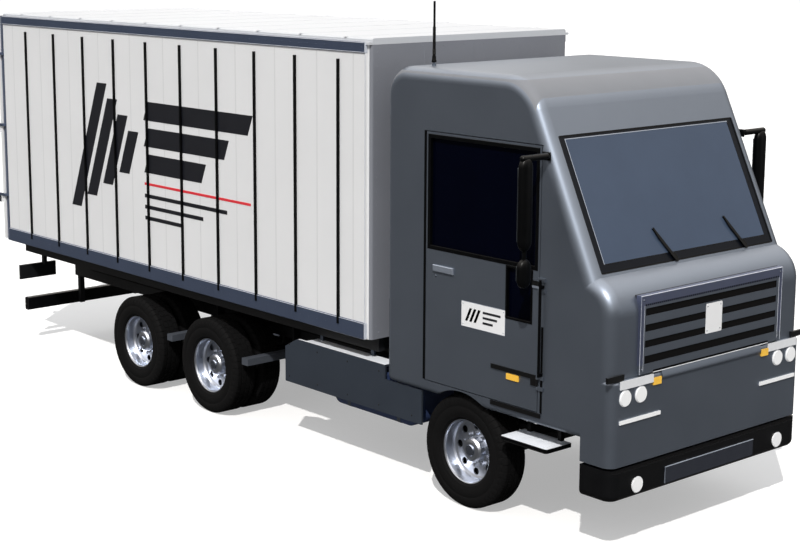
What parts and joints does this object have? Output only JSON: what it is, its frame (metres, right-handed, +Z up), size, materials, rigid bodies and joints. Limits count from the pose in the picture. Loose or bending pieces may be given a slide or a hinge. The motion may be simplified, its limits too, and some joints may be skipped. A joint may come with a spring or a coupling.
{
  "type": "box truck",
  "caption": "Rigid highway lorry with a flat-front cab and a tall white cargo box, steered front wheels, twin drive wheels, opening cab doors and swinging rear doors.",
  "frame": {"origin": "on the ground under the middle of the truck's overall length and width", "axes": "+X forwards, +Y to the truck's left, +Z up"},
  "size_m": [9.7466, 3.23, 4.385],
  "materials": {
    "frame_black": "satin",
    "driveline": "rough",
    "tank_blue": "satin",
    "skirt_grey": "satin",
    "step_white": "satin",
    "black_plastic": "matt",
    "lamp_clear": "clear",
    "lamp_amber": "gloss",
    "cab_paint": "gloss",
    "screen_glass": "tinted",
    "grille_dark": "satin",
    "mirror_housing": "gloss",
    "seat_fabric": "woven",
    "dash_plastic": "grained",
    "floor_board": "sealed ply",
    "box_white": "satin",
    "rail_blue": "satin",
    "strip_black": "satin",
    "bar_grey": "satin",
    "rim_chrome": "polished",
    "tyre_rubber": "matt",
    "side_glass": "tinted"
  },
  "bodies": {
    "chassis": {"chassis_frame": "frame_black", "drive_train": "driveline", "front_axle": "driveline", "rear_axles": "driveline", "leaf_springs": "frame_black", "fuel_tanks": "tank_blue", "side_skirts": "skirt_grey", "cab_steps": "step_white", "bumper": "black_plastic", "front_lamps": "lamp_clear", "signal_lamps": "lamp_amber", "cab_shell": "cab_paint", "windscreen": "screen_glass", "wipers": "black_plastic", "grille": "grille_dark", "mirrors": "mirror_housing", "seats": "seat_fabric", "dashboard": "dash_plastic", "box_floor": "floor_board", "box_walls": "box_white", "box_roof": "box_white", "box_rails": "rail_blue", "box_strips": "strip_black", "rear_frame": "rail_blue", "underrun_bar": "bar_grey"},
    "knuckle_right": {"knuckle_right": "driveline"},
    "front_wheel_right": {"front_rim_right": "rim_chrome", "front_tyre_right": "tyre_rubber"},
    "twin_wheel_drive_one_right": {"rims_drive_one_right": "rim_chrome", "tyres_drive_one_right": "tyre_rubber"},
    "twin_wheel_drive_two_right": {"rims_drive_two_right": "rim_chrome", "tyres_drive_two_right": "tyre_rubber"},
    "cab_door_right": {"door_right": "cab_paint", "door_glass_right": "side_glass"},
    "cargo_door_right": {"rear_door_right": "box_white"},
    "knuckle_left": {"knuckle_left": "driveline"},
    "front_wheel_left": {"front_rim_left": "rim_chrome", "front_tyre_left": "tyre_rubber"},
    "twin_wheel_drive_one_left": {"rims_drive_one_left": "rim_chrome", "tyres_drive_one_left": "tyre_rubber"},
    "twin_wheel_drive_two_left": {"rims_drive_two_left": "rim_chrome", "tyres_drive_two_left": "tyre_rubber"},
    "cab_door_left": {"door_left": "cab_paint", "door_glass_left": "side_glass"},
    "cargo_door_left": {"rear_door_left": "box_white"}
  },
  "joints": [
    {"name": "steer_right", "type": "hinge", "parent": "chassis", "child": "knuckle_right", "pos_m": [3.14, -0.86, 0.505], "axis": [0, 0, 1], "range_deg": [-38, 38]},
    {"name": "front_spin_right", "type": "hinge", "parent": "knuckle_right", "child": "front_wheel_right", "pos_m": [3.14, -1.0625, 0.505], "axis": [0, 1, 0], "continuous": true},
    {"name": "drive_one_spin_right", "type": "hinge", "parent": "chassis", "child": "twin_wheel_drive_one_right", "pos_m": [-0.725, -0.902, 0.505], "axis": [0, 1, 0], "continuous": true},
    {"name": "drive_two_spin_right", "type": "hinge", "parent": "chassis", "child": "twin_wheel_drive_two_right", "pos_m": [-2.091, -0.902, 0.505], "axis": [0, 1, 0], "continuous": true},
    {"name": "cab_door_hinge_right", "type": "hinge", "parent": "chassis", "child": "cab_door_right", "pos_m": [4.049, -1.26, 1.74], "axis": [0, 0, 1], "range_deg": [0, 70]},
    {"name": "cargo_door_hinge_right", "type": "hinge", "parent": "chassis", "child": "cargo_door_right", "pos_m": [-4.8613, -1.338, 2.66], "axis": [0, 0, 1], "range_deg": [0, 270]},
    {"name": "steer_left", "type": "hinge", "parent": "chassis", "child": "knuckle_left", "pos_m": [3.14, 0.86, 0.505], "axis": [0, 0, 1], "range_deg": [-38, 38]},
    {"name": "front_spin_left", "type": "hinge", "parent": "knuckle_left", "child": "front_wheel_left", "pos_m": [3.14, 1.0625, 0.505], "axis": [0, 1, 0], "continuous": true},
    {"name": "drive_one_spin_left", "type": "hinge", "parent": "chassis", "child": "twin_wheel_drive_one_left", "pos_m": [-0.725, 0.902, 0.505], "axis": [0, 1, 0], "continuous": true},
    {"name": "drive_two_spin_left", "type": "hinge", "parent": "chassis", "child": "twin_wheel_drive_two_left", "pos_m": [-2.091, 0.902, 0.505], "axis": [0, 1, 0], "continuous": true},
    {"name": "cab_door_hinge_left", "type": "hinge", "parent": "chassis", "child": "cab_door_left", "pos_m": [4.049, 1.26, 1.74], "axis": [0, 0, -1], "range_deg": [0, 70]},
    {"name": "cargo_door_hinge_left", "type": "hinge", "parent": "chassis", "child": "cargo_door_left", "pos_m": [-4.8613, 1.338, 2.66], "axis": [0, 0, -1], "range_deg": [0, 270]}
  ],
  "couplings": [
    {"joint": "steer_left", "follows": "steer_right", "ratio": 1}
  ]
}
